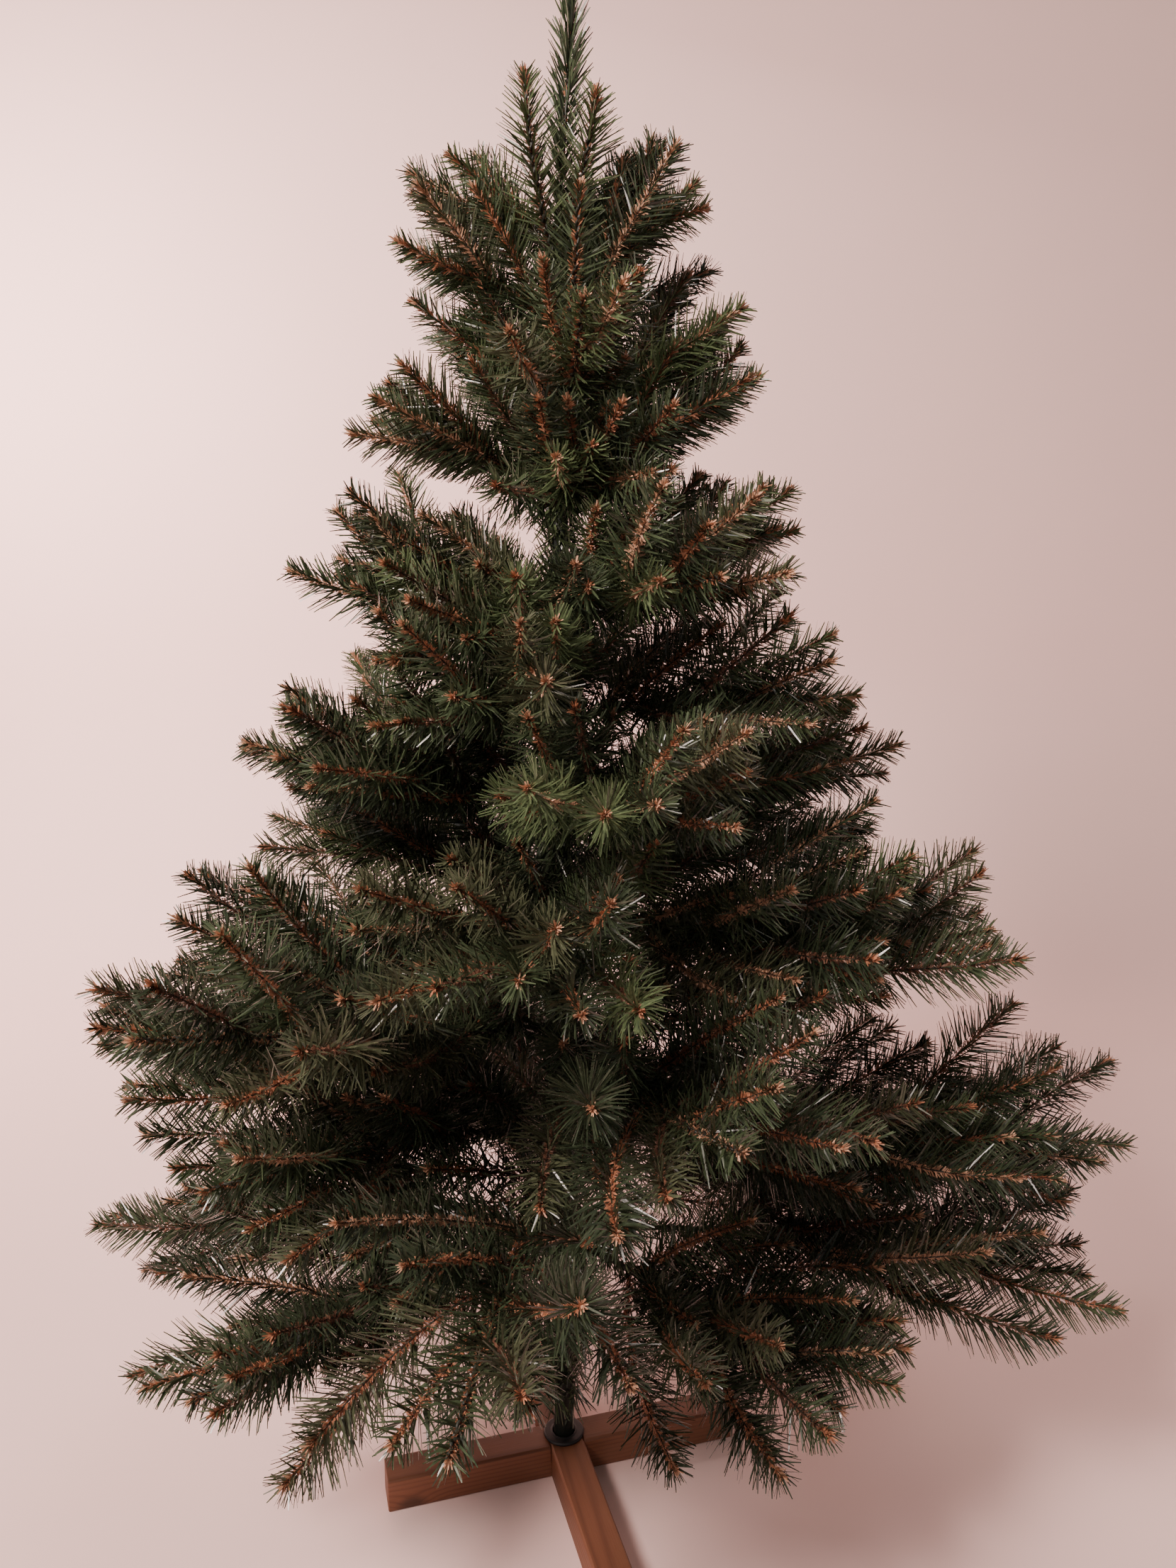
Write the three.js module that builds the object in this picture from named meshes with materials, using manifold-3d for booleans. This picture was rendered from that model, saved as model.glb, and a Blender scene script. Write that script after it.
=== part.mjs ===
// An artificial Christmas tree: hinged wire boughs of dyed PVC foil round a
// painted steel pole, standing in a collar on a cross of two halved timbers.
// Millimetres, +Z up. The origin lies on the ground under the pole, +X is the
// tree's right and -Y its front.

import * as THREE from "three";
import { mergeVertices } from "three/addons/utils/BufferGeometryUtils.js";
import Module from "manifold-3d";

const wasm = await Module();
wasm.setup();

// ---------------------------------------------------------------- sizes

// Air left between pieces that are fitted together but not joined.
const CLEARANCE = 0.3;

// The stand: two timbers halved into each other.
const BEAM_SIDE = 38;
const BEAM_LENGTH = 400;
const BEAM_EDGE = 2;
const STAND_TURN = 16;
const HALVING_PLAY = 0.3;

// The hole for the pole, and the plastic collar that lines it.
const HOLE_RADIUS = 14.6;
const HOLE_FLOOR = 6;
const COLLAR_RADIUS = 22.5;
const COLLAR_THICKNESS = 3.5;
const COLLAR_LIP = 1;
const SLEEVE_RADIUS = 14;
const SLEEVE_BORE = 12;
const SLEEVE_FLOOR = 8;
const HOLE_SIDES = 24;

// The pole: three tubes, each thinner than the one below it.
const POLE_FOOT = 8.5;
const POLE_LOW_RADIUS = 11.5;
const POLE_MIDDLE_RADIUS = 10;
const POLE_TOP_RADIUS = 8;
const POLE_FIRST_STEP = 575;
const POLE_SECOND_STEP = 1010;
const POLE_STEP_RISE = 3;
const POLE_TOP = 1306;
const POLE_TOP_EDGE = 1;
const POLE_SIDES = 20;

// The leader: one straight tip carrying on above the pole.
const LEADER_TOP = 1500;
const LEADER_LEAN = 4;
const LEADER_CORE = 11;
const LEADER_REACH = 25;
const LEADER_RINGS = [
  { at: 0, core: 0.45, reach: 0.55 },
  { at: 0.17, core: 1, reach: 0.75 },
  { at: 0.34, core: 1, reach: 1 },
  { at: 0.51, core: 0.95, reach: 1 },
  { at: 0.68, core: 0.9, reach: 0.9 },
  { at: 0.84, core: 0.75, reach: 0.65 },
];

// The boughs' bare wire: its radius at the pole, the share of it lost by the
// end, the share of a hinged bough that is bare, and how far every other
// bough of a whorl is hooked in above its level and the rest below it.
const BOUGH_RADIUS = 5;
const BOUGH_TAPER = 0.3;
const BOUGH_END = 0.26;
const BOUGH_STANDOFF = 0.05;
const BOUGH_STAGGER = 7;
const LIMB_STEPS = 8;

// Side tips: where the pairs stand along a bough, how far they spread from it
// and curl back, how they lift or drop, and how long they may be.
const PAIRS_FROM = 0.26;
const PAIRS_SPAN = 0.46;
const PAIR_STAGGER = 0.05;
const TIP_SPREAD = 61;
const TIP_SPREAD_LOSS = 24;
const TIP_CURL = 30;
const TIP_LIFT = 18;
const TIP_DROP = -6;
const TIP_CURVE = 6;
const TIP_ROOM = 1.06;
const TIP_SPARE = 30;

// The inner tip that rises near the foot of every bough with pairs.
const INNER_AT = 0.15;
const INNER_PAST_WIRE = 0.05;
const INNER_SWING = 12;
const INNER_UNSWING = 0.5;
const INNER_LENGTH = 0.72;
const INNER_RISE = 42;
const INNER_END_RISE = 30;

// How much chance changes each of these.
const STEM_CHANCE = 5;
const SPREAD_CHANCE = 6;
const LENGTH_CHANCE = 0.1;
const LIFT_CHANCE = 8;
const CURVE_CHANCE = 10;
const SWING_CHANCE = 8;

// A tip's shape: a bare root, then sprays of needles round a slim core, the
// last of them smaller, each tooth past the ring that ends its spray.
const TIP_ROOT = 1.8;
const TIP_CORE = 15;
const NEEDLE_REACH = 34;
const NEEDLES_FROM = 0.2;
const LAST_SPRAY_ROOM = 0.1;
const LAST_CORE = 0.85;
const LAST_REACH = 0.66;
const TOOTH_PAST_RING = 0.2;
const LAST_TOOTH = 0.94;
const RING_TWIST = 24;
const SLIM_ABOVE = 1180;
const SLIM = 0.84;

// How many sprays an end tip and a side tip have, by their length.
const LONG_END_TIP = 118;
const LONG_SIDE_TIP = 130;
const END_SPRAYS = [3, 4];
const SIDE_SPRAYS = [2, 3];
const LEAST_WIRE = 0.14;
const KNOT_ROOM = 0.04;

// The sizes and rolls tried in turn until a tip clears its neighbours.
const SIZES_TRIED = [1, 0.85, 0.7, 0.56, 0.42];
const ROLLS_TRIED = [0, 60, 30, 90];

// Each whorl of boughs: its height on the pole, the length of its side tips,
// and for every bough the compass turn, the reach, the rise at the pole, the
// rise at its end and how many pairs of side tips it carries.
const bough = (turn, reach, rise, endRise, pairs) => ({ turn, reach, rise, endRise, pairs });

const WHORLS = [
  {
    name: "crown", height: 1293, seed: 30, tip: 111, hinged: false,
    boughs: [
      bough(13, 68, 22, 32, 1), bough(154, 93, 15, 26, 1),
      bough(243, 116, 51, 81, 0), bough(299, 93, 40, 70, 0),
    ],
  },
  {
    name: "whorl_1", height: 1225, seed: 1, tip: 107, hinged: false,
    boughs: [
      bough(344, 115, 55, 42, 1), bough(183, 98, 30, 19, 1),
      bough(280, 140, -14, 72, 0), bough(62, 126, 18, 28, 1),
    ],
  },
  {
    name: "whorl_2", height: 1143, seed: 34, tip: 108, hinged: false,
    boughs: [
      bough(21, 152, 38, 22, 1), bough(162, 101, 39, 38, 1),
      bough(277, 165, 0, 40, 1), bough(110, 162, 20, 10, 1),
    ],
  },
  {
    name: "whorl_3", height: 1068, seed: 23, tip: 136, hinged: false,
    boughs: [
      bough(15, 168, 38, 30, 2), bough(184, 128, 32, 8, 2),
      bough(283, 126, -1, 26, 2), bough(80, 193, 21, 8, 2),
    ],
  },
  {
    name: "whorl_4", height: 962, seed: 5, tip: 135, hinged: false,
    boughs: [
      bough(22, 195, 27, 12, 2), bough(163, 159, 9, 8, 2),
      bough(303, 210, 11, 8, 2), bough(253, 196, -15, 1, 2),
    ],
  },
  {
    name: "whorl_5", height: 860, seed: 6, tip: 139, hinged: false,
    boughs: [
      bough(341, 222, 13, 1, 2), bough(168, 226, 44, 18, 2),
      bough(254, 240, 12, 10, 2), bough(81, 250, 14, 4, 2),
    ],
  },
  {
    name: "whorl_6", height: 760, seed: 20, tip: 151, hinged: false,
    boughs: [
      bough(17, 286, 12, 5, 3), bough(216, 258, 14, 15, 3),
      bough(285, 322, 15, 12, 3), bough(127, 371, 4, 9, 3),
    ],
  },
  {
    name: "whorl_7", height: 648, seed: 8, tip: 198, hinged: false,
    boughs: [
      bough(159, 276, 25, 12, 3), bough(266, 328, 7, 10, 3),
      bough(328, 308, 5, 8, 3), bough(39, 355, 11, 8, 3),
    ],
  },
  {
    name: "whorl_8", height: 520, seed: 16, tip: 206, hinged: false,
    boughs: [
      bough(162, 392, 17, 8, 3), bough(228, 457, 16, 17, 3),
      bough(290, 356, 5, 13, 3), bough(348, 411, 22, 13, 3),
      bough(92, 452, 13, 13, 3),
    ],
  },
  {
    name: "whorl_9", height: 405, seed: 10, tip: 177, hinged: false,
    boughs: [
      bough(194, 445, 28, 12, 3), bough(219, 363, 18, 3, 3),
      bough(262, 464, 9, -1, 3), bough(349, 464, 4, 4, 3),
      bough(359, 571, 5, -6, 3), bough(118, 464, 9, 4, 3),
    ],
  },
  {
    name: "whorl_10", height: 295, seed: 37, tip: 205, hinged: true,
    boughs: [
      bough(166, 473, 4, -22, 3), bough(222, 386, 3, -1, 3),
      bough(313, 325, 4, -7, 3), bough(350, 508, 2, -4, 3),
      bough(40, 435, -2, -12, 3), bough(110, 440, 2, -4, 3),
    ],
  },
];

// ------------------------------------------------------------ materials

const finish = (name, color, roughness, metalness) => {
  const material = new THREE.MeshStandardMaterial({ color, roughness, metalness });
  material.name = name;
  return material;
};
const needleGreen = finish("needle_foil", 0x24361f, 0.7, 0);
const boughWire = finish("bough_wire", 0x1d2a1c, 0.65, 0.1);
const polePaint = finish("pole_paint", 0x141a16, 0.5, 0.1);
const stainedWood = finish("stained_wood", 0x6e4430, 0.6, 0);
const collarPlastic = finish("collar_plastic", 0x0e0e0f, 0.55, 0);

const tree = new THREE.Group();
tree.name = "christmas_tree";

// ---------------------------------------------------------- solid tools

// A closed three.js geometry as a solid.
function solidOf(geometry) {
  const bare = new THREE.BufferGeometry();
  bare.setAttribute("position", geometry.getAttribute("position").clone());
  if (geometry.index) {
    bare.setIndex(geometry.index.clone());
  }
  const merged = mergeVertices(bare, 1e-4);
  const corners = Float32Array.from(merged.getAttribute("position").array);
  const order = Uint32Array.from(merged.index.array);
  const build = () => new wasm.Manifold(new wasm.Mesh({
    numProp: 3, vertProperties: corners, triVerts: order,
  }));
  const solid = build();
  if (solid.volume() > 0) {
    return solid;
  }
  // The surface faces inwards, so every triangle is turned over.
  for (let i = 0; i < order.length; i += 3) {
    [order[i + 1], order[i + 2]] = [order[i + 2], order[i + 1]];
  }
  return build();
}

// Corner points and triangles as a solid.
function solidFrom(points, triangles) {
  const vertProperties = new Float32Array(points.length * 3);
  points.forEach((point, i) => point.toArray(vertProperties, i * 3));
  return new wasm.Manifold(new wasm.Mesh({
    numProp: 3,
    vertProperties,
    triVerts: Uint32Array.from(triangles.flat()),
  }));
}

// A solid added to the tree as a named piece.
function addPiece(name, solid, material) {
  const mesh = solid.getMesh();
  const positions = new Float32Array(mesh.numVert * 3);
  for (let i = 0; i < mesh.numVert; i += 1) {
    positions[i * 3] = mesh.vertProperties[i * mesh.numProp];
    positions[i * 3 + 1] = mesh.vertProperties[i * mesh.numProp + 1];
    positions[i * 3 + 2] = mesh.vertProperties[i * mesh.numProp + 2];
  }
  const geometry = new THREE.BufferGeometry();
  geometry.setAttribute("position", new THREE.BufferAttribute(positions, 3));
  geometry.setIndex(new THREE.BufferAttribute(Uint32Array.from(mesh.triVerts), 1));
  geometry.computeVertexNormals();
  const piece = new THREE.Mesh(geometry, material);
  piece.name = name;
  tree.add(piece);
}

// A body of revolution about the pole's axis from radius and height pairs.
function turned(profile, sides) {
  const outline = profile.map(([radius, height]) => new THREE.Vector2(radius, height));
  const geometry = new THREE.LatheGeometry(outline, sides);
  geometry.rotateX(Math.PI / 2);
  return solidOf(geometry);
}

// ---------------------------------------------------------------- stand

// One timber, lying along X with its edges eased.
function timber() {
  const half = BEAM_SIDE / 2;
  const section = new THREE.Shape();
  section.moveTo(-half + BEAM_EDGE, -half);
  section.lineTo(half - BEAM_EDGE, -half);
  section.lineTo(half, -half + BEAM_EDGE);
  section.lineTo(half, half - BEAM_EDGE);
  section.lineTo(half - BEAM_EDGE, half);
  section.lineTo(-half + BEAM_EDGE, half);
  section.lineTo(-half, half - BEAM_EDGE);
  section.lineTo(-half, -half + BEAM_EDGE);
  const geometry = new THREE.ExtrudeGeometry(section, {
    depth: BEAM_LENGTH, bevelEnabled: false,
  });
  geometry.translate(0, 0, -BEAM_LENGTH / 2);
  geometry.rotateY(Math.PI / 2);
  geometry.translate(0, 0, half);
  return solidOf(geometry);
}

// The block cut out of a timber so that the other can lie in it.
function halving(bottom, top) {
  const width = BEAM_SIDE + 2 * HALVING_PLAY;
  const geometry = new THREE.BoxGeometry(width, BEAM_SIDE * 2, top - bottom);
  geometry.translate(0, 0, (top + bottom) / 2);
  return solidOf(geometry);
}

const poleHole = solidOf(
  new THREE.CylinderGeometry(HOLE_RADIUS, HOLE_RADIUS, BEAM_SIDE, HOLE_SIDES)
    .rotateX(Math.PI / 2)
    .translate(0, 0, HOLE_FLOOR + BEAM_SIDE / 2),
);
const jointHeight = BEAM_SIDE / 2;
const longBeam = timber()
  .subtract(halving(jointHeight - HALVING_PLAY / 2, BEAM_SIDE + 1))
  .rotate([0, 0, STAND_TURN])
  .subtract(poleHole);
const crossBeam = timber()
  .subtract(halving(-1, jointHeight + HALVING_PLAY / 2))
  .rotate([0, 0, STAND_TURN + 90])
  .subtract(poleHole);
addPiece("long_beam", longBeam, stainedWood);
addPiece("cross_beam", crossBeam, stainedWood);

// The collar: a flat disc on the timbers and a sleeve down round the pole.
const discFoot = BEAM_SIDE + CLEARANCE;
const discTop = discFoot + COLLAR_THICKNESS;
const collar = turned([
  [SLEEVE_BORE, SLEEVE_FLOOR],
  [SLEEVE_RADIUS, SLEEVE_FLOOR],
  [SLEEVE_RADIUS, discFoot],
  [COLLAR_RADIUS, discFoot],
  [COLLAR_RADIUS, discTop - COLLAR_LIP],
  [COLLAR_RADIUS - COLLAR_LIP, discTop],
  [SLEEVE_BORE, discTop],
  [SLEEVE_BORE, SLEEVE_FLOOR],
], HOLE_SIDES);
addPiece("collar", collar, collarPlastic);

// ----------------------------------------------------------------- pole

// The pole's outline, grown by a gap on its sides.
function poleOutline(gap) {
  const low = POLE_LOW_RADIUS + gap;
  const middle = POLE_MIDDLE_RADIUS + gap;
  const top = POLE_TOP_RADIUS + gap;
  return turned([
    [0, POLE_FOOT],
    [low, POLE_FOOT],
    [low, POLE_FIRST_STEP + gap],
    [middle, POLE_FIRST_STEP + POLE_STEP_RISE + gap],
    [middle, POLE_SECOND_STEP + gap],
    [top, POLE_SECOND_STEP + POLE_STEP_RISE + gap],
    [top, POLE_TOP - POLE_TOP_EDGE + gap],
    [top - POLE_TOP_EDGE, POLE_TOP + gap],
    [0, POLE_TOP + gap],
  ], POLE_SIDES);
}
addPiece("pole", poleOutline(0), polePaint);
const poleSpace = poleOutline(CLEARANCE);

// ---------------------------------------------------- limbs and needles

const radians = (angle) => (angle * Math.PI) / 180;
const degrees = (angle) => (angle * 180) / Math.PI;
const NEARLY_UPRIGHT = 0.95;

// Small differences between boughs, the same on every run.
function chanceFrom(seed) {
  let state = seed;
  return (spread) => {
    state = (state * 1664525 + 1013904223) % 4294967296;
    return ((state / 4294967296) * 2 - 1) * spread;
  };
}

// A direction from its compass turn and its rise.
function heading(turn, rise) {
  return new THREE.Vector3(
    Math.cos(radians(turn)) * Math.cos(radians(rise)),
    Math.sin(radians(turn)) * Math.cos(radians(rise)),
    Math.sin(radians(rise)),
  );
}

// The bent line of a limb whose turn and rise change evenly along it.
function limb(start, length, turn, endTurn, rise, endRise) {
  const points = [start.clone()];
  for (let i = 0; i < LIMB_STEPS; i += 1) {
    const share = (i + 0.5) / LIMB_STEPS;
    const step = heading(
      turn + (endTurn - turn) * share,
      rise + (endRise - rise) * share,
    );
    points.push(points[i].clone().addScaledVector(step, length / LIMB_STEPS));
  }
  return points;
}

// The place and direction at a share of a limb's length.
function along(path, share) {
  const place = Math.min(Math.max(share, 0), 1) * LIMB_STEPS;
  const i = Math.min(Math.floor(place), LIMB_STEPS - 1);
  const point = path[i].clone().lerp(path[i + 1], place - i);
  const direction = path[i + 1].clone().sub(path[i]).normalize();
  return { point, direction };
}

// A point beside a limb, at an angle round it and a distance out. A plumb
// ring stands upright against the pole, whatever the limb's own rise.
function beside(path, share, angle, distance, plumb) {
  const { point, direction } = along(path, share);
  if (plumb) {
    direction.z = 0;
    direction.normalize();
  }
  const steep = Math.abs(direction.z) > NEARLY_UPRIGHT;
  const reference = steep ? new THREE.Vector3(1, 0, 0) : new THREE.Vector3(0, 0, 1);
  const side = new THREE.Vector3().crossVectors(direction, reference).normalize();
  const up = new THREE.Vector3().crossVectors(side, direction);
  return point
    .addScaledVector(side, Math.cos(radians(angle)) * distance)
    .addScaledVector(up, -Math.sin(radians(angle)) * distance);
}

// A slim three-sided core with sprays of needles standing off its edges.
// Each ring gives its share of the limb, its core radius and the reach of
// the needles between it and the next ring; a core of nothing is a point.
function spray(path, rings, roll) {
  const points = [];
  const faces = [[0, 2, 1]];
  const first = [];
  rings.forEach((ring, i) => {
    first.push(points.length);
    if (ring.core === 0) {
      points.push(along(path, ring.at).point);
      return;
    }
    for (let k = 0; k < 3; k += 1) {
      const angle = roll + i * RING_TWIST + k * 120;
      points.push(beside(path, ring.at, angle, ring.core, ring.plumb));
    }
  });
  for (let i = 0; i < rings.length - 1; i += 1) {
    const ring = rings[i];
    const next = rings[i + 1];
    const pointed = next.core === 0;
    const needle = points.length;
    if (ring.reach) {
      const past = next.at + (next.at - ring.at) * TOOTH_PAST_RING;
      const tooth = pointed ? LAST_TOOTH : past;
      for (let k = 0; k < 3; k += 1) {
        const angle = roll + (i + 0.5) * RING_TWIST + k * 120;
        points.push(beside(path, tooth, angle, ring.reach));
      }
    }
    for (let k = 0; k < 3; k += 1) {
      const other = (k + 1) % 3;
      const a = first[i] + k;
      const f = first[i] + other;
      const c = pointed ? first[i + 1] : first[i + 1] + k;
      const d = pointed ? first[i + 1] : first[i + 1] + other;
      const b = needle + k;
      const e = needle + other;
      if (ring.reach) {
        faces.push([a, f, b], [b, f, d], [f, e, d]);
        if (!pointed) {
          faces.push([b, d, c]);
        }
      } else {
        faces.push([a, f, d]);
        if (!pointed) {
          faces.push([a, d, c]);
        }
      }
    }
  }
  if (rings[rings.length - 1].core > 0) {
    faces.push([0, 1, 2].map((k) => first[rings.length - 1] + k));
  }
  return solidFrom(points, faces);
}

// A ring of the bare wire, which tapers from the pole outwards.
const wireRing = (at) => ({
  at, core: BOUGH_RADIUS * (1 - BOUGH_TAPER * at), plumb: at === 0,
});

// The rings of a tip that fills its limb from one share of it to the end.
function tipRings(from, sprays, size, width) {
  const room = 1 - from;
  const rings = [];
  for (let i = 0; i < sprays; i += 1) {
    const last = i === sprays - 1;
    rings.push({
      at: from + (room * i) / (sprays + LAST_SPRAY_ROOM),
      core: TIP_CORE * width * size * (last ? LAST_CORE : 1),
      reach: NEEDLE_REACH * width * size * (last ? LAST_REACH : 1),
    });
  }
  rings.push({ at: 1, core: 0 });
  return rings;
}

// How far from the axis a bough starts, its upright end just clear of the pole.
function boughStart(height) {
  let radius = POLE_LOW_RADIUS;
  if (height > POLE_FIRST_STEP) {
    radius = POLE_MIDDLE_RADIUS;
  }
  if (height > POLE_SECOND_STEP) {
    radius = POLE_TOP_RADIUS;
  }
  return radius + CLEARANCE + BOUGH_STANDOFF;
}

// Where a limb is at a share of it, and how it turns and rises there.
function bearing(path, share) {
  const { point, direction } = along(path, share);
  return {
    point,
    turn: degrees(Math.atan2(direction.y, direction.x)),
    rise: degrees(Math.asin(direction.z)),
  };
}

// One side tip of a bough, on one side of it at a share of its length.
function sideTip(whorl, reach, stem, share, side, lifted, chance) {
  const own = bearing(stem, share);
  const spread = TIP_SPREAD - TIP_SPREAD_LOSS * share + chance(SPREAD_CHANCE);
  const room = reach * (1 - share) * TIP_ROOM + TIP_SPARE;
  const length = Math.min(whorl.tip, room) * (1 + chance(LENGTH_CHANCE));
  const lift = (lifted ? TIP_LIFT : TIP_DROP) + chance(LIFT_CHANCE);
  const path = limb(
    own.point, length,
    own.turn + side * spread, own.turn + side * (spread - TIP_CURL),
    own.rise + lift, own.rise + lift + TIP_CURVE + chance(CURVE_CHANCE),
  );
  return { path, length };
}

// The lines of one bough: its own, then its side tips from the outermost in.
function boughLines(whorl, index) {
  const { turn, reach, rise, endRise, pairs } = whorl.boughs[index];
  const chance = chanceFrom(whorl.seed * 100 + index * 7 + 1);
  const start = heading(turn, 0).multiplyScalar(boughStart(whorl.height));
  start.z = whorl.height + (index % 2 === 0 ? -BOUGH_STAGGER : BOUGH_STAGGER);
  const stem = limb(start, reach, turn, turn + chance(STEM_CHANCE), rise, endRise);
  const tips = [];
  const stations = [];
  for (let i = 0; i < pairs; i += 1) {
    const station = PAIRS_FROM + (PAIRS_SPAN * (i + 0.5)) / pairs;
    stations.push(station);
    for (const side of [1, -1]) {
      const lifted = (i % 2 === 0) === (side > 0);
      const share = station + side * PAIR_STAGGER;
      tips.unshift(sideTip(whorl, reach, stem, share, side, lifted, chance));
    }
  }
  if (pairs > 0) {
    const own = bearing(stem, whorl.hinged ? BOUGH_END + INNER_PAST_WIRE : INNER_AT);
    const swing = INNER_SWING * (index % 2 === 0 ? 1 : -1) + chance(SWING_CHANCE);
    const length = whorl.tip * INNER_LENGTH * (1 + chance(LENGTH_CHANCE));
    const path = limb(
      own.point, length,
      own.turn + swing, own.turn + swing * INNER_UNSWING,
      rise + INNER_RISE, rise + INNER_END_RISE,
    );
    tips.push({ path, length });
  }
  const width = whorl.height > SLIM_ABOVE ? SLIM : 1;
  return { stem, reach, stations, tips, width };
}

// --------------------------------------------------------------- leader

const leaderStart = new THREE.Vector3(0, 0, POLE_TOP + 2 * CLEARANCE);
const leaderLength = LEADER_TOP - POLE_TOP - 2 * CLEARANCE;
const leaderPath = limb(leaderStart, leaderLength, 0, 0, 90 - LEADER_LEAN, 90 - LEADER_LEAN);
const leaderRings = LEADER_RINGS.map(({ at, core, reach }) => ({
  at, core: LEADER_CORE * core, reach: LEADER_REACH * reach,
}));
leaderRings.push({ at: 1, core: 0 });
const leaderMass = { name: "leader", parts: [spray(leaderPath, leaderRings, 0)] };

// ------------------------------------------------------- boughs, masses

const masses = [leaderMass];
const blocked = [poleSpace, collar, longBeam, crossBeam];

// Whether two solids share any space.
function meets(one, other) {
  const a = one.boundingBox();
  const b = other.boundingBox();
  for (let i = 0; i < 3; i += 1) {
    if (a.min[i] > b.max[i] || b.min[i] > a.max[i]) {
      return false;
    }
  }
  return !one.intersect(other).isEmpty();
}

// Whether a solid is clear of the stand, the pole and every other mass, and
// its needled part clear of the other parts of its own mass.
function isClear(solid, needled, owner) {
  return !blocked.some((piece) => meets(solid, piece))
    && !masses.some((mass) => mass.parts.some(
      (part) => meets(mass === owner ? needled : solid, part),
    ));
}

// The largest of the tried sizes that fits, or nothing.
function fitted(owner, path, ringsFor, bare) {
  for (const size of SIZES_TRIED) {
    for (const roll of ROLLS_TRIED) {
      const rings = ringsFor(size);
      const solid = spray(path, rings, roll);
      const needled = spray(path, rings.slice(bare), roll + bare * RING_TWIST);
      if (isClear(solid, needled, owner)) {
        return solid;
      }
    }
  }
  return null;
}

// Every bough's own line first: its wire, and the tip that ends it.
const lowBoughs = [];
for (const whorl of WHORLS) {
  whorl.boughs.forEach((_, index) => {
    const lines = boughLines(whorl, index);
    const mass = { name: `${whorl.name}_foliage_${index + 1}`, parts: [], lines };
    let from = 0;
    if (whorl.hinged) {
      from = BOUGH_END;
      const stops = [0, BOUGH_END / 2, BOUGH_END - CLEARANCE / lines.reach];
      const wire = spray(lines.stem, stops.map(wireRing), 0);
      lowBoughs.push({ name: `low_bough_${index + 1}`, wire });
    }
    const wireEnd = Math.max(1 - whorl.tip / lines.reach, from + LEAST_WIRE);
    const inner = lines.stations.filter((at) => at > from && at < wireEnd - KNOT_ROOM);
    const wire = [from, ...inner].map(wireRing);
    const sprays = END_SPRAYS[whorl.tip > LONG_END_TIP ? 1 : 0];
    const solid = fitted(
      mass, lines.stem,
      (size) => [...wire, ...tipRings(wireEnd, sprays, size, lines.width)],
      wire.length,
    );
    if (solid) {
      mass.parts.push(solid);
      masses.push(mass);
    }
  });
}

// Then the side tips, the outermost of every bough before the inner ones.
const deepest = Math.max(...masses.map((mass) => (mass.lines ? mass.lines.tips.length : 0)));
for (let rank = 0; rank < deepest; rank += 1) {
  for (const mass of masses) {
    const tip = mass.lines ? mass.lines.tips[rank] : null;
    if (!tip) {
      continue;
    }
    const sprays = SIDE_SPRAYS[tip.length > LONG_SIDE_TIP ? 1 : 0];
    const solid = fitted(
      mass, tip.path,
      (size) => [
        { at: 0, core: TIP_ROOT },
        ...tipRings(NEEDLES_FROM, sprays, size, mass.lines.width),
      ],
      1,
    );
    if (solid) {
      mass.parts.push(solid);
    }
  }
}

// The parts of a mass as one solid, any pocket sealed between them filled.
function joined(parts) {
  const shells = wasm.Manifold.union(parts).decompose();
  return wasm.Manifold.union(shells.filter((shell) => shell.volume() > 0));
}

for (const { name, wire } of lowBoughs) {
  addPiece(name, wire, boughWire);
}
for (const mass of masses) {
  addPiece(mass.name, joined(mass.parts), needleGreen);
}

export default tree;
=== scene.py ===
import math

import bmesh
import bpy
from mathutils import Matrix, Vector


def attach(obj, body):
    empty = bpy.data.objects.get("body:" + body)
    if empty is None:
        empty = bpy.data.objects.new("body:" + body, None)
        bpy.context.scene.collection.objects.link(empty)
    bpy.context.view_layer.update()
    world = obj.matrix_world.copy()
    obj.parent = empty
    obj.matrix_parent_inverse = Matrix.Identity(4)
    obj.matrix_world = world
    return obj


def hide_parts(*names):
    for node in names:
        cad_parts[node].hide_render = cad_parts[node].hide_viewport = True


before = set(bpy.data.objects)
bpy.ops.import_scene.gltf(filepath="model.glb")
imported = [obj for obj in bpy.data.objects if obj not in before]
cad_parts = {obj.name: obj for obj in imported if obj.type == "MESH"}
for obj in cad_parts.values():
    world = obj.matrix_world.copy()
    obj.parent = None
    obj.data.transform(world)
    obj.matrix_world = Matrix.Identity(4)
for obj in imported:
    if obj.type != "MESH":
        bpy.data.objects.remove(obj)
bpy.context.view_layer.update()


# ---------------------------------------------------------------- timbers
# Two lengths of planed 38 mm softwood, stained a warm brown and halved into
# each other as a cross. Their long edges are eased with a plane and then
# sanded, and a hole for the pole is bored down through the joint.

TIMBER_TURN = {"long_beam": math.radians(16), "cross_beam": math.radians(106)}
TIMBER_PITH = {"long_beam": (0.011, -0.052), "cross_beam": (-0.022, -0.031)}
SANDED_EDGE = 0.0011
GROWTH_RING = 0.0046
GRAIN_DEPTH = 0.00035
STAINED_EARLY_WOOD = (0.182, 0.069, 0.034, 1)
STAINED_LATE_WOOD = (0.095, 0.032, 0.0155, 1)
HANDLED_PATCH = (0.185, 0.083, 0.040, 1)
DARK_KNOT = (0.060, 0.026, 0.014, 1)


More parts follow.
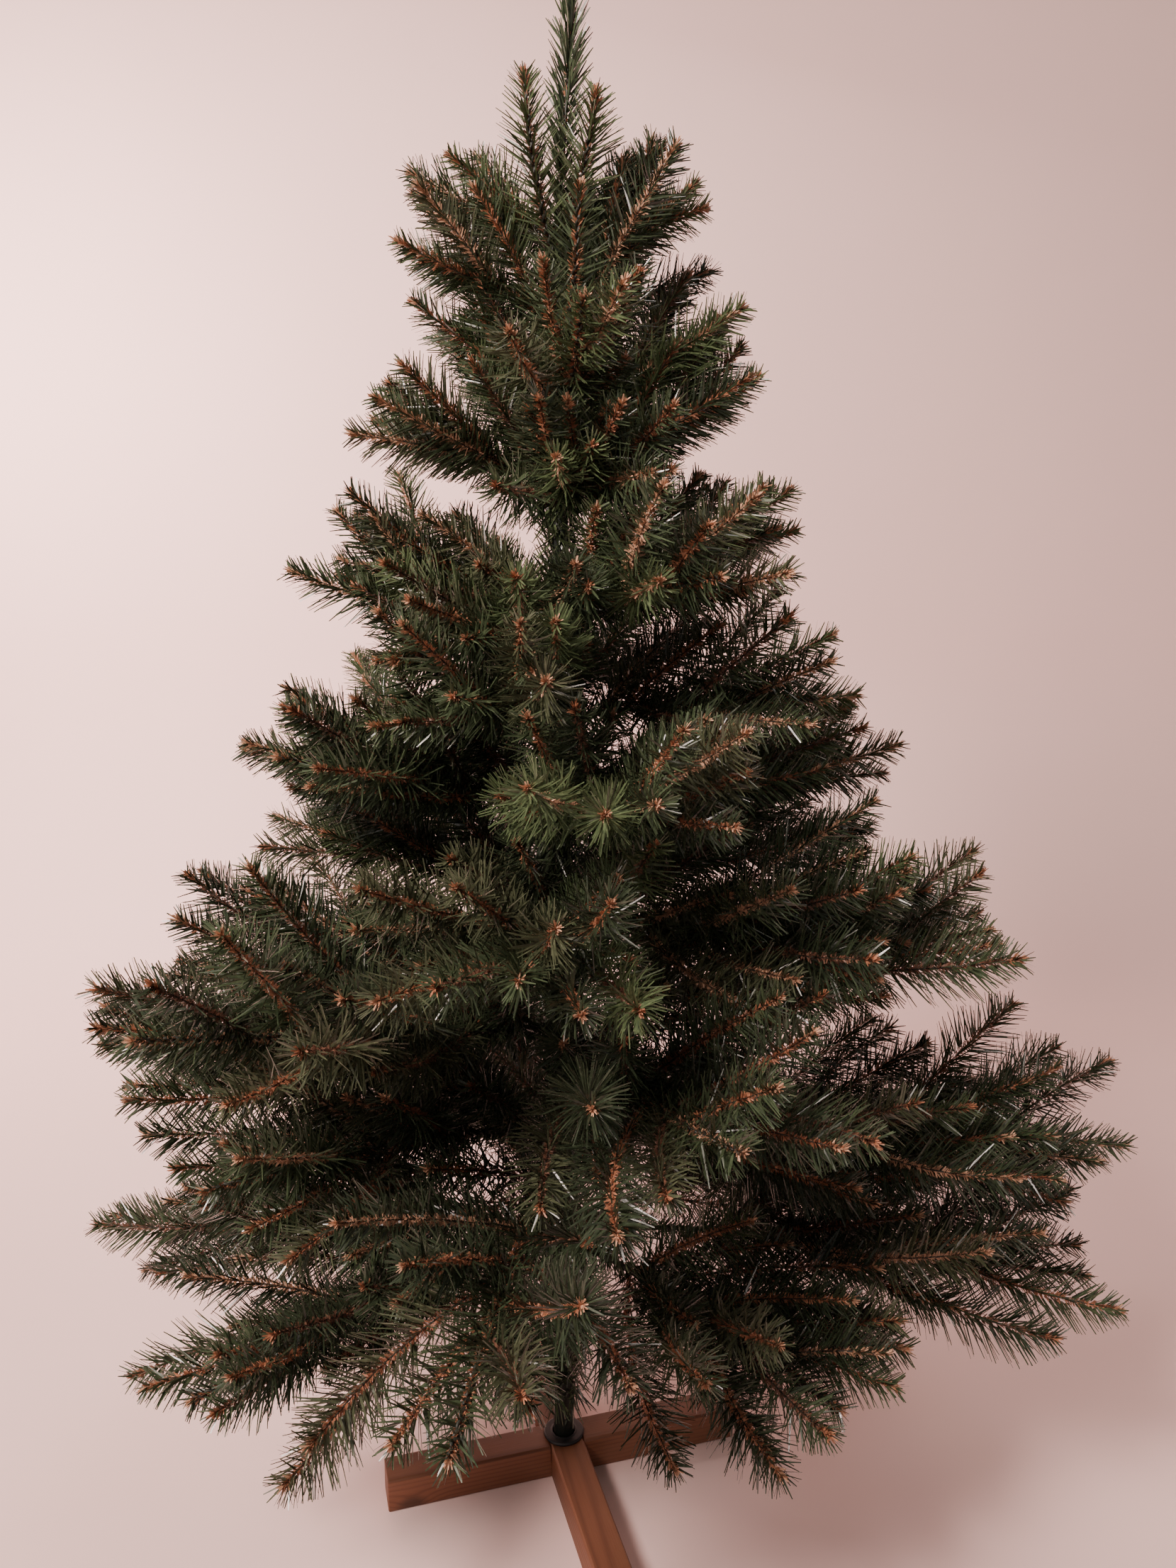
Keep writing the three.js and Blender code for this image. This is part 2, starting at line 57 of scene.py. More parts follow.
class Value:
    """A socket in a drawing of nodes. Sums on it add Math nodes."""

    def __init__(self, nodes, socket):
        self.nodes = nodes
        self.socket = socket

    def sum(self, operation, first, second=0.0):
        return self.nodes.add("ShaderNodeMath", {"operation": operation}, {0: first, 1: second})

    def __add__(self, other):
        return self.sum("ADD", self, other)

    def __radd__(self, other):
        return self.sum("ADD", other, self)

    def __sub__(self, other):
        return self.sum("SUBTRACT", self, other)

    def __rsub__(self, other):
        return self.sum("SUBTRACT", other, self)

    def __mul__(self, other):
        return self.sum("MULTIPLY", self, other)

    def __truediv__(self, other):
        return self.sum("DIVIDE", self, other)

    def __rtruediv__(self, other):
        return self.sum("DIVIDE", other, self)

    def __pow__(self, other):
        return self.sum("POWER", self, other)

    def most(self, other):
        return self.sum("MAXIMUM", self, other)

    def least(self, other):
        return self.sum("MINIMUM", self, other)

    def wave(self):
        return self.sum("SINE", self)

    def between(self, low, high):
        """0 below low, 1 above high and an even slope from one to the other."""
        return self.nodes.add("ShaderNodeMapRange", {}, {
            "Value": self, "From Min": low, "From Max": high,
        })


class Nodes:
    """A node tree as it is drawn up."""

    def __init__(self, tree):
        self.tree = tree

    def add(self, kind, settings=None, sockets=None, out=0):
        """One node: its settings first, then the values or links of its sockets."""
        node = self.tree.nodes.new(kind)
        for name, setting in (settings or {}).items():
            setattr(node, name, setting)
        for name, value in (sockets or {}).items():
            if isinstance(value, Value):
                self.tree.links.new(value.socket, node.inputs[name])
            else:
                node.inputs[name].default_value = value
        if not node.outputs:
            return node
        return Value(self, node.outputs[out])

    def parts(self, vector):
        """The three numbers of a vector."""
        split = self.add("ShaderNodeSeparateXYZ", {}, {"Vector": vector}).socket.node
        return [Value(self, socket) for socket in split.outputs]

    def vector(self, x, y, z):
        return self.add("ShaderNodeCombineXYZ", {}, {"X": x, "Y": y, "Z": z})

    def speckle(self, place, scale, detail=2.0, roughness=0.5):
        """Soft random light and dark, with so many patches to the metre."""
        return self.add("ShaderNodeTexNoise", {}, {
            "Vector": place, "Scale": scale, "Detail": detail, "Roughness": roughness,
        })

    def mixed(self, share, first, second):
        """A colour between two others."""
        return self.add("ShaderNodeMix", {"data_type": "RGBA"}, {0: share, 6: first, 7: second}, out=2)


class Finish(Nodes):
    """A material as it is mixed, on the piece's own coordinates."""

    def __init__(self, name):
        self.material = bpy.data.materials.new(name)
        self.material.use_nodes = True
        super().__init__(self.material.node_tree)
        self.tree.nodes.clear()

    def place(self):
        return self.add("ShaderNodeTexCoord", {}, {}, out="Object")

    def laid(self, surface, relief=None, depth=0.0):
        """The finished surface, with its relief so many metres deep."""
        if relief is not None:
            surface["Normal"] = self.add("ShaderNodeBump", {}, {
                "Height": relief, "Distance": depth, "Strength": 1.0,
            })
        shader = self.add("ShaderNodeBsdfPrincipled", {}, surface)
        self.add("ShaderNodeOutputMaterial", {}, {"Surface": shader})
        return self.material


def stained_softwood(name, turn, pith):
    """Growth rings round a pith that runs beside the timber, a few knots, and
    the stain darker in the late wood and where the surface was handled."""
    wood = Finish(name)
    place = wood.add("ShaderNodeMapping", {}, {"Vector": wood.place(), "Rotation": (0, 0, -turn)})
    x, y, z = wood.parts(place)
    bend = wood.speckle(wood.vector(x * 2.2, y * 7, z * 7), 1.0, 2.0) - 0.5
    knot = wood.add("ShaderNodeTexVoronoi", {}, {
        "Vector": wood.vector(x * 6 + 2.1, y * 11, z * 11 + 0.4), "Scale": 1.0,
    })
    knotted = 1 - knot.between(0.05, 0.12)
    swirl = (1 - knot.between(0.06, 0.3)) ** 2
    across = y - pith[0] + bend * 0.022
    up = z - pith[1] + bend * 0.012
    radius = (across * across + up * up) ** 0.5 + swirl * 0.009
    rings = (radius * (2 * math.pi / GROWTH_RING)).wave() * 0.5 + 0.5
    fibre = wood.speckle(wood.vector(x * 26, y * 620, z * 620), 1.0, 3.0, 0.6)
    patch = wood.speckle(wood.vector(x * 9, y * 22, z * 22), 1.0, 3.0)
    late = (rings ** 3 * 0.55 + (fibre - 0.5) * 0.5).most(0).least(1)
    colour = wood.mixed(late, STAINED_EARLY_WOOD, STAINED_LATE_WOOD)
    colour = wood.mixed(patch.between(0.42, 0.72) * 0.45, colour, HANDLED_PATCH)
    colour = wood.mixed(knotted * 0.85, colour, DARK_KNOT)
    return wood.laid({
        "Base Color": colour,
        "Roughness": 0.50 + fibre * 0.16 - patch * 0.08,
        "Specular IOR Level": 0.42,
    }, rings * 0.25 + fibre * 0.75 - knotted * 0.4, GRAIN_DEPTH)


def eased(name):
    """A timber's own shape with its corners merged and its edges rounded."""
    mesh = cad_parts[name].data.copy()
    shape = bmesh.new()
    shape.from_mesh(mesh)
    bmesh.ops.remove_doubles(shape, verts=shape.verts, dist=0.00002)
    bmesh.ops.dissolve_limit(shape, angle_limit=math.radians(1), verts=shape.verts, edges=shape.edges)
    shape.to_mesh(mesh)
    shape.free()
    mesh.name = name + "_planed"
    piece = bpy.data.objects.new(name + "_planed", mesh)
    bpy.context.scene.collection.objects.link(piece)
    rounding = piece.modifiers.new("sanded edges", "BEVEL")
    rounding.width = SANDED_EDGE
    rounding.segments = 3
    rounding.limit_method = "ANGLE"
    rounding.angle_limit = math.radians(25)
    rounding.harden_normals = True
    return piece


for name in TIMBER_TURN:
    timber = eased(name)
    timber.data.materials.clear()
    timber.data.materials.append(stained_softwood("stain_" + name, TIMBER_TURN[name], TIMBER_PITH[name]))
    for face in timber.data.polygons:
        face.use_smooth = True
        face.material_index = 0
    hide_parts(name)
    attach(timber, "root")


# ----------------------------------------------------------------- collar
# A black moulded disc that lies on the timbers, with a sleeve down round the
# pole in the bored hole. It is turned here as one closed ring, with a small
# round on every edge and a low rib round the mouth.

COLLAR_SIDES = 72
COLLAR_OUTLINE = [
    (0.0120, 0.0080), (0.0140, 0.0080), (0.0140, 0.0379), (0.0144, 0.0383),
    (0.0220, 0.0383), (0.0225, 0.0386), (0.0226, 0.0392), (0.0226, 0.0400),
    (0.0224, 0.0408), (0.0220, 0.0414), (0.0213, 0.0418), (0.0204, 0.0419),
    (0.0160, 0.0417), (0.0146, 0.0418), (0.0141, 0.0422), (0.0136, 0.0424),
    (0.0130, 0.0424), (0.0124, 0.0421), (0.0120, 0.0415),
]
MOULDED_BLACK = (0.006, 0.006, 0.007, 1)
DUSTY_BLACK = (0.020, 0.019, 0.018, 1)


def turned(name, outline, sides, closed):
    """A body turned about the pole's axis from radius and height pairs."""
    shape = bmesh.new()
    rings = []
    for radius, height in outline:
        if radius == 0:
            rings.append([shape.verts.new((0, 0, height))] * sides)
            continue
        ring = []
        for k in range(sides):
            turn = 2 * math.pi * k / sides
            ring.append(shape.verts.new((radius * math.cos(turn), radius * math.sin(turn), height)))
        rings.append(ring)
    if closed:
        rings.append(rings[0])
    for low, high in zip(rings, rings[1:]):
        for k in range(sides):
            corners = []
            for corner in (low[k], low[(k + 1) % sides], high[(k + 1) % sides], high[k]):
                if corner not in corners:
                    corners.append(corner)
            shape.faces.new(corners)
    bmesh.ops.recalc_face_normals(shape, faces=shape.faces)
    for face in shape.faces:
        face.smooth = True
    mesh = bpy.data.meshes.new(name)
    shape.to_mesh(mesh)
    shape.free()
    piece = bpy.data.objects.new(name, mesh)
    bpy.context.scene.collection.objects.link(piece)
    return piece


plastic = Finish("black_moulded_plastic")
plastic_grain = plastic.speckle(plastic.place(), 900, 3.0)
plastic_dust = plastic.speckle(plastic.place(), 90, 3.0).between(0.45, 0.75)
collar = turned("moulded_collar", COLLAR_OUTLINE, COLLAR_SIDES, True)
collar.data.materials.append(plastic.laid({
    "Base Color": plastic.mixed(plastic_dust * 0.35, MOULDED_BLACK, DUSTY_BLACK),
    "Roughness": 0.46 + plastic_grain * 0.18,
}, plastic_grain, 0.00008))
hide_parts("collar")
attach(collar, "root")


# ------------------------------------------------------------------- pole
# Three thin steel tubes, each swaged into the one below it and rolled over at
# its mouth, painted a dark green that is nearly black. The paint is scuffed in
# streaks here and there all along the tubes.

POLE_SIDES = 48
POLE_OUTLINE = [
    (0.0, 0.0085), (0.0108, 0.0085), (0.0115, 0.0092), (0.0115, 0.1400),
    (0.0115, 0.5700), (0.0116, 0.5706), (0.01165, 0.5728), (0.0116, 0.5748),
    (0.0112, 0.5756), (0.0102, 0.5762), (0.0100, 0.5780), (0.0100, 0.8000),
    (0.0100, 1.0050), (0.0101, 1.0056), (0.01015, 1.0078), (0.0101, 1.0098),
    (0.0097, 1.0106), (0.0082, 1.0112), (0.0080, 1.0130), (0.0080, 1.1500),
    (0.0080, 1.3046), (0.0077, 1.3056), (0.0069, 1.3060), (0.0, 1.3060),
]
FRESH_PAINT = (0.0065, 0.0100, 0.0075, 1)
SCUFFED_PAINT = (0.030, 0.034, 0.030, 1)

paint = Finish("dark_green_paint")
paint_x, paint_y, paint_z = paint.parts(paint.place())
paint_peel = paint.speckle(paint.place(), 420, 2.0)
paint_scuff = paint.speckle(paint.vector(paint_x * 130, paint_y * 130, paint_z * 24), 1.0, 4.0, 0.65)
paint_worn = paint_scuff.between(0.60, 0.70)
pole = turned("painted_pole", POLE_OUTLINE, POLE_SIDES, False)
pole.data.materials.append(paint.laid({
    "Base Color": paint.mixed(paint_worn * 0.6, FRESH_PAINT, SCUFFED_PAINT),
    "Roughness": 0.42 + paint_worn * 0.22 + paint_peel * 0.08,
}, paint_peel - paint_worn * 0.6, 0.00012))
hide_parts("pole")
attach(pole, "root")


# ----------------------------------------------------------- bough wires
# Every bough is a pair of stout steel wires twisted together, hooked to the
# pole and thinning outwards. Its side tips are twisted on in pairs as finer
# wires. The lines of both follow one rule, bent a little by seeded chance.

WIRE_AT_POLE = 0.0046
WIRE_TAPER = 0.34
WIRE_TWIST = 0.019
WIRE_STEP = 0.0038
TIP_WIRE = 0.0012
TIP_WIRE_TAPER = 0.4
TIP_WIRE_SIDES = 5
STRAND_SIDES = 6
STRAND_RADIUS = 0.52
STRAND_OFFSET = 0.48
BARE_COAT = (0.008, 0.011, 0.007, 1)
WORN_COAT = (0.022, 0.026, 0.016, 1)
LIMB_STEPS = 8
HINGED_END = 0.26
STAGGER = 0.007
GAP_AT_POLE = 0.00035
TUBES = [(0.0, 0.0115), (0.575, 0.010), (1.010, 0.008)]

# Where the paired tips stand on a bough, and how far they turn off and rise.
PAIRS_FROM = 0.26
PAIRS_SPAN = 0.46
PAIR_STAGGER = 0.05
TIP_SPREAD = 61
TIP_SPREAD_LOSS = 24
TIP_CURL = 30
TIP_LIFT = 18
TIP_DROP = -6
TIP_CURVE = 6
TIP_ROOM = 1.06
TIP_SPARE = 0.030

# The inner tip that stands up near the pole.
INNER_AT = 0.15
INNER_PAST_WIRE = 0.05
INNER_SWING = 12
INNER_UNSWING = 0.5
INNER_LENGTH = 0.72
INNER_RISE = 42
INNER_END_RISE = 30

# The smaller tips between the pairs, three for each pair.
FINER_TO_A_PAIR = 3
FINER_FROM = 0.12
FINER_PAST_WIRE = 0.04
FINER_TO = 0.80
FINER_SPREAD = 46
FINER_SPREAD_LOSS = 22
FINER_CURL = 0.5
FINER_LIFT = 28
FINER_DROP = -11
FINER_DROP_HINGED = -4
FINER_UNLIFT = 0.6
FINER_CURVE = 6
FINER_LENGTH = 0.78
FINER_ROOM = 0.85
FINER_SPARE = 0.035

# How far chance may bend each of these.
STEM_CHANCE = 5
SPREAD_CHANCE = 6
LENGTH_CHANCE = 0.1
LIFT_CHANCE = 8
CURVE_CHANCE = 10
SWING_CHANCE = 8
FINER_PLACE_CHANCE = 0.03
FINER_LENGTH_CHANCE = 0.12
FINER_SPREAD_CHANCE = 10

# The pointed part that ends each tip beyond its own length, by height.
TIP_POINTS = [(0.0, 0.021), (0.7, 0.031)]


def bough(turn, reach, rise, end_rise, pairs):
    return {"turn": turn, "reach": reach / 1000, "rise": rise, "end_rise": end_rise, "pairs": pairs}


def whorl(name, height, seed, tip, boughs, hinged=False):
    return {
        "name": name, "height": height / 1000, "seed": seed, "tip": tip / 1000,
        "boughs": boughs, "hinged": hinged,
    }


WHORLS = [
    whorl("crown", 1293, 30, 111, [
        bough(13, 68, 22, 32, 1), bough(154, 93, 15, 26, 1),
        bough(243, 116, 51, 81, 0), bough(299, 93, 40, 70, 0),
    ]),
    whorl("whorl_1", 1225, 1, 107, [
        bough(344, 115, 55, 42, 1), bough(183, 98, 30, 19, 1),
        bough(280, 140, -14, 72, 0), bough(62, 126, 18, 28, 1),
    ]),
    whorl("whorl_2", 1143, 34, 108, [
        bough(21, 152, 38, 22, 1), bough(162, 101, 39, 38, 1),
        bough(277, 165, 0, 40, 1), bough(110, 162, 20, 10, 1),
    ]),
    whorl("whorl_3", 1068, 23, 136, [
        bough(15, 168, 38, 30, 2), bough(184, 128, 32, 8, 2),
        bough(283, 126, -1, 26, 2), bough(80, 193, 21, 8, 2),
    ]),
    whorl("whorl_4", 962, 5, 135, [
        bough(22, 195, 27, 12, 2), bough(163, 159, 9, 8, 2),
        bough(303, 210, 11, 8, 2), bough(253, 196, -15, 1, 2),
    ]),
    whorl("whorl_5", 860, 6, 139, [
        bough(341, 222, 13, 1, 2), bough(168, 226, 44, 18, 2),
        bough(254, 240, 12, 10, 2), bough(81, 250, 14, 4, 2),
    ]),
    whorl("whorl_6", 760, 20, 151, [
        bough(17, 286, 12, 5, 3), bough(216, 258, 14, 15, 3),
        bough(285, 322, 15, 12, 3), bough(127, 371, 4, 9, 3),
    ]),
    whorl("whorl_7", 648, 8, 198, [
        bough(159, 276, 25, 12, 3), bough(266, 328, 7, 10, 3),
        bough(328, 308, 5, 8, 3), bough(39, 355, 11, 8, 3),
    ]),
    whorl("whorl_8", 520, 16, 206, [
        bough(162, 392, 17, 8, 3), bough(228, 457, 16, 17, 3),
        bough(290, 356, 5, 13, 3), bough(348, 411, 22, 13, 3),
        bough(92, 452, 13, 13, 3),
    ]),
    whorl("whorl_9", 405, 10, 177, [
        bough(194, 445, 28, 12, 3), bough(219, 363, 18, 3, 3),
        bough(262, 464, 9, -1, 3), bough(349, 464, 4, 4, 3),
        bough(359, 571, 5, -6, 3), bough(118, 464, 9, 4, 3),
    ]),
    whorl("whorl_10", 295, 37, 205, [
        bough(166, 473, 4, -22, 3), bough(222, 386, 3, -1, 3),
        bough(313, 325, 4, -7, 3), bough(350, 508, 2, -4, 3),
        bough(40, 435, -2, -12, 3), bough(110, 440, 2, -4, 3),
    ], hinged=True),
]


def chance_from(seed):
    """Small differences between boughs, the same on every run."""
    state = [seed]

    def chance(spread):
        state[0] = (state[0] * 1664525 + 1013904223) % 4294967296
        return (state[0] / 4294967296 * 2 - 1) * spread

    return chance


def heading(turn, rise):
    """A direction from its compass turn and its rise, in degrees."""
    turn = math.radians(turn)
    rise = math.radians(rise)
    return Vector((math.cos(turn) * math.cos(rise), math.sin(turn) * math.cos(rise), math.sin(rise)))


def limb(start, length, turn, end_turn, rise, end_rise):
    """The bent line of a limb whose turn and rise change evenly along it."""
    points = [start.copy()]
    for i in range(LIMB_STEPS):
        share = (i + 0.5) / LIMB_STEPS
        step = heading(turn + (end_turn - turn) * share, rise + (end_rise - rise) * share)
        points.append(points[-1] + step * (length / LIMB_STEPS))
    return points


def along(path, share):
    """The place at a share of a limb, and its turn and rise there."""
    place = min(max(share, 0), 1) * LIMB_STEPS
    i = min(int(place), LIMB_STEPS - 1)
    step = (path[i + 1] - path[i]).normalized()
    turn = math.degrees(math.atan2(step.y, step.x))
    return path[i].lerp(path[i + 1], place - i), turn, math.degrees(math.asin(step.z))


def at_height(stops, height):
    """What holds at a height, from pairs of where it starts and what it is."""
    return [what for start, what in stops if height > start][-1]


def bough_lines(tier, index):
    """The line of one bough and those of the tips that it carries."""
    own = tier["boughs"][index]
    turn, reach, rise = own["turn"], own["reach"], own["rise"]
    chance = chance_from(tier["seed"] * 100 + index * 7 + 1)
    start = heading(turn, 0) * (at_height(TUBES, tier["height"]) + GAP_AT_POLE)
    start.z = tier["height"] + (STAGGER if index % 2 else -STAGGER)
    stem = limb(start, reach, turn, turn + chance(STEM_CHANCE), rise, own["end_rise"])
    tips = []
    for i in range(own["pairs"]):
        for side in (1, -1):
            share = PAIRS_FROM + PAIRS_SPAN * (i + 0.5) / own["pairs"] + side * PAIR_STAGGER
            point, own_turn, own_rise = along(stem, share)
            spread = TIP_SPREAD - TIP_SPREAD_LOSS * share + chance(SPREAD_CHANCE)
            room = reach * (1 - share) * TIP_ROOM + TIP_SPARE
            length = min(tier["tip"], room) * (1 + chance(LENGTH_CHANCE))
            lift = (TIP_LIFT if (i % 2 == 0) == (side > 0) else TIP_DROP) + chance(LIFT_CHANCE)
            tips.append(limb(
                point, length, own_turn + side * spread, own_turn + side * (spread - TIP_CURL),
                own_rise + lift, own_rise + lift + TIP_CURVE + chance(CURVE_CHANCE),
            ))
    if own["pairs"] > 0:
        inner_at = HINGED_END + INNER_PAST_WIRE if tier["hinged"] else INNER_AT
        point, own_turn, own_rise = along(stem, inner_at)
        swing = INNER_SWING * (1 if index % 2 == 0 else -1) + chance(SWING_CHANCE)
        length = tier["tip"] * INNER_LENGTH * (1 + chance(LENGTH_CHANCE))
        tips.append(limb(
            point, length, own_turn + swing, own_turn + swing * INNER_UNSWING,
            rise + INNER_RISE, rise + INNER_END_RISE,
        ))
    return stem, tips


def finer_tips(tier, index, stem):
    """The smaller tips between the pairs, which fill a bough out."""
    own = tier["boughs"][index]
    chance = chance_from(tier["seed"] * 1000 + index * 13 + 5)
    first = HINGED_END + FINER_PAST_WIRE if tier["hinged"] else FINER_FROM
    drop = FINER_DROP_HINGED if tier["hinged"] else FINER_DROP
    count = own["pairs"] * FINER_TO_A_PAIR
    tips = []
    for i in range(count):
        share = first + (FINER_TO - first) * i / (count - 1) + chance(FINER_PLACE_CHANCE)
        point, own_turn, own_rise = along(stem, share)
        side = 1 if i % 2 == 0 else -1
        room = own["reach"] * (1 - share) * FINER_ROOM + FINER_SPARE
        length = min(tier["tip"] * FINER_LENGTH, room) * (1 + chance(FINER_LENGTH_CHANCE))
        lift = (FINER_LIFT if i % 4 < 2 else drop) + chance(LIFT_CHANCE)
        swing = side * (FINER_SPREAD - FINER_SPREAD_LOSS * share + chance(FINER_SPREAD_CHANCE))
        tips.append(limb(
            point, length, own_turn + swing, own_turn + swing * FINER_CURL,
            own_rise + lift, own_rise + lift * FINER_UNLIFT + FINER_CURVE,
        ))
    return tips


def drawn_out(path, tier):
    """A line made longer at its end, for the pointed part of a tip."""
    end = (path[-1] - path[-2]).normalized()
    return path[:-1] + [path[-1] + end * at_height(TIP_POINTS, tier["height"])]


BOUGHS = []
for tier in WHORLS:
    for index in range(len(tier["boughs"])):
        stem, tips = bough_lines(tier, index)
        BOUGHS.append({
            "tier": tier, "index": index, "stem": drawn_out(stem, tier),
            "tips": [drawn_out(tip, tier) for tip in tips],
            "finer": [drawn_out(tip, tier) for tip in finer_tips(tier, index, stem)],
            "node": f"{tier['name']}_foliage_{index + 1}",
        })


def lines_piece(name, paths, numbers):
    """Lines as a mesh of edges, with the named numbers of each of its points."""
    points = [point for path in paths for point in path]
    edges = []
    first = 0
    for path in paths:
        edges += [(first + i, first + i + 1) for i in range(len(path) - 1)]
        first += len(path)
    mesh = bpy.data.meshes.new(name)
    mesh.from_pydata(points, edges, [])
    for number, values in numbers.items():
        layer = mesh.attributes.new(number, "FLOAT", "POINT")
        layer.data.foreach_set("value", [value for path in values for value in path])
    piece = bpy.data.objects.new(name, mesh)
    bpy.context.scene.collection.objects.link(piece)
    return piece


def grown(piece, tree, sizes):
    """The piece made over by a tree of nodes with these sizes, as plain mesh."""
    growth = piece.modifiers.new(tree.name, "NODES")
    growth.node_group = tree
    for item in tree.interface.items_tree:
        if item.in_out == "INPUT" and item.name in sizes:
            growth[item.identifier] = sizes[item.name]
    bpy.context.view_layer.update()
    ready = piece.evaluated_get(bpy.context.evaluated_depsgraph_get())
    mesh = bpy.data.meshes.new_from_object(ready)
    piece.modifiers.remove(growth)
    piece.data = mesh
    for layer in [a.name for a in mesh.attributes if a.name in ("reach", "lean", "shade", "thick")]:
        mesh.attributes.remove(mesh.attributes[layer])
    return piece


def group_of(name, inputs):
    """An empty tree of geometry nodes with its named inputs, ready to draw."""
    tree = bpy.data.node_groups.new(name, "GeometryNodeTree")
    tree.interface.new_socket("Lines", in_out="INPUT", socket_type="NodeSocketGeometry")
    for label, kind in inputs.items():
        tree.interface.new_socket(label, in_out="INPUT", socket_type="NodeSocket" + kind)
    tree.interface.new_socket("Result", in_out="OUTPUT", socket_type="NodeSocketGeometry")
    nodes = Nodes(tree)
    entry = tree.nodes.new("NodeGroupInput")
    return tree, nodes, {socket.name: Value(nodes, socket) for socket in entry.outputs if socket.name}


def number_of(nodes, name):
    return nodes.add("GeometryNodeInputNamedAttribute", {"data_type": "FLOAT"}, {"Name": name})


def twisted_wires():
    """Two strands laid round each other along every line."""
    tree, nodes, given = group_of("twisted wires", {
        "Step": "Float", "Pitch": "Float", "Material": "Material",
    })
    line = nodes.add("GeometryNodeMeshToCurve", {}, {"Mesh": given["Lines"]})
    line = nodes.add("GeometryNodeResampleCurve", {"mode": "LENGTH"}, {
        "Curve": line, "Length": given["Step"],
    })
    run = nodes.add("GeometryNodeSplineParameter", {}, {}, out="Length")
    twist = run / given["Pitch"] * (2 * math.pi)
    line = nodes.add("GeometryNodeSetCurveTilt", {}, {"Curve": line, "Tilt": twist})
    strand = nodes.add("GeometryNodeCurvePrimitiveCircle", {}, {
        "Resolution": STRAND_SIDES, "Radius": STRAND_RADIUS,
    })
    strands = nodes.add("GeometryNodeJoinGeometry", {}, {})
    for side in (-1, 1):
        moved = nodes.add("GeometryNodeTransform", {}, {
            "Geometry": strand, "Translation": (side * STRAND_OFFSET, 0, 0),
        })
        tree.links.new(moved.socket, strands.socket.node.inputs[0])
    wire = nodes.add("GeometryNodeCurveToMesh", {}, {
        "Curve": line, "Profile Curve": strands, "Scale": number_of(nodes, "thick"), "Fill Caps": True,
    })
    wire = nodes.add("GeometryNodeRealizeInstances", {}, {"Geometry": wire})
    wire = nodes.add("GeometryNodeSetMaterial", {}, {"Geometry": wire, "Material": given["Material"]})
    nodes.add("NodeGroupOutput", {}, {"Result": wire})
    return tree


def plain_wires():
    """One thin round wire along every line."""
    tree, nodes, given = group_of("plain wires", {"Sides": "Int", "Material": "Material"})
    line = nodes.add("GeometryNodeMeshToCurve", {}, {"Mesh": given["Lines"]})
    ring = nodes.add("GeometryNodeCurvePrimitiveCircle", {}, {
        "Resolution": given["Sides"], "Radius": 1.0,
    })
    wire = nodes.add("GeometryNodeCurveToMesh", {}, {
        "Curve": line, "Profile Curve": ring, "Scale": number_of(nodes, "thick"), "Fill Caps": True,
    })
    wire = nodes.add("GeometryNodeRealizeInstances", {}, {"Geometry": wire})
    wire = nodes.add("GeometryNodeSetMaterial", {}, {"Geometry": wire, "Material": given["Material"]})
    nodes.add("NodeGroupOutput", {}, {"Result": wire})
    return tree


wire_coat = Finish("green_coated_wire")
wire_grain = wire_coat.speckle(wire_coat.place(), 260, 3.0)
WIRE_FINISH = wire_coat.laid({
    "Base Color": wire_coat.mixed(wire_grain, BARE_COAT, WORN_COAT),
    "Roughness": 0.48 + wire_grain * 0.2,
}, wire_grain, 0.0001)

stem_paths = [each["stem"] for each in BOUGHS]
stem_thick = [WIRE_AT_POLE * (1 - WIRE_TAPER * i / LIMB_STEPS) for i in range(LIMB_STEPS + 1)]
stems = lines_piece("bough_wires", stem_paths, {"thick": [stem_thick] * len(stem_paths)})
grown(stems, twisted_wires(), {"Step": WIRE_STEP, "Pitch": WIRE_TWIST, "Material": WIRE_FINISH})
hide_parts(*[f"low_bough_{k + 1}" for k in range(6)])
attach(stems, "root")

tip_paths = [tip for each in BOUGHS for tip in each["tips"] + each["finer"]]
tip_thick = [TIP_WIRE * (1 - TIP_WIRE_TAPER * i / LIMB_STEPS) for i in range(LIMB_STEPS + 1)]
tip_wires = lines_piece("tip_wires", tip_paths, {"thick": [tip_thick] * len(tip_paths)})
grown(tip_wires, plain_wires(), {"Sides": TIP_WIRE_SIDES, "Material": WIRE_FINISH})
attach(tip_wires, "root")


# ---------------------------------------------------------- green needles
# Strips of dyed PVC foil, 2 mm wide and caught between the twisted wires. They
# stand off all round, lean towards the tip and are shorter at its root and end.
# Batches of foil differ a little in colour, and each tip is wound from one.

NEEDLES_A_METRE = 1850
NEEDLE_WIDTH = 0.0020
NEEDLE_REACH = 0.043
NEEDLE_LEAN = 56
NEEDLE_FOOT = 0.14
NEEDLE_POINT = 0.62
GREEN_CUT = {"Width": NEEDLE_WIDTH, "Foot": NEEDLE_FOOT, "Point": NEEDLE_POINT}
GREEN_GLOSS = 0.15
GREENS = {
    "deep_green_foil": ((0.019, 0.029, 0.015, 1), (0.041, 0.056, 0.030, 1)),
    "middle_green_foil": ((0.030, 0.046, 0.023, 1), (0.066, 0.091, 0.045, 1)),
    "fresh_green_foil": ((0.044, 0.068, 0.030, 1), (0.101, 0.136, 0.062, 1)),
    "olive_green_foil": ((0.039, 0.047, 0.025, 1), (0.083, 0.094, 0.051, 1)),
}


def foil(name, dark, light, roughness):
    """Dyed foil: the dye varies softly, and the surface has a satin gloss."""
    dye = Finish(name)
    tone = dye.speckle(dye.place(), 170, 2.0)
    return dye.laid({
        "Base Color": dye.mixed(tone.between(0.3, 0.7), dark, light),
        "Roughness": roughness + tone * 0.2,
        "Specular IOR Level": 0.55,
    })


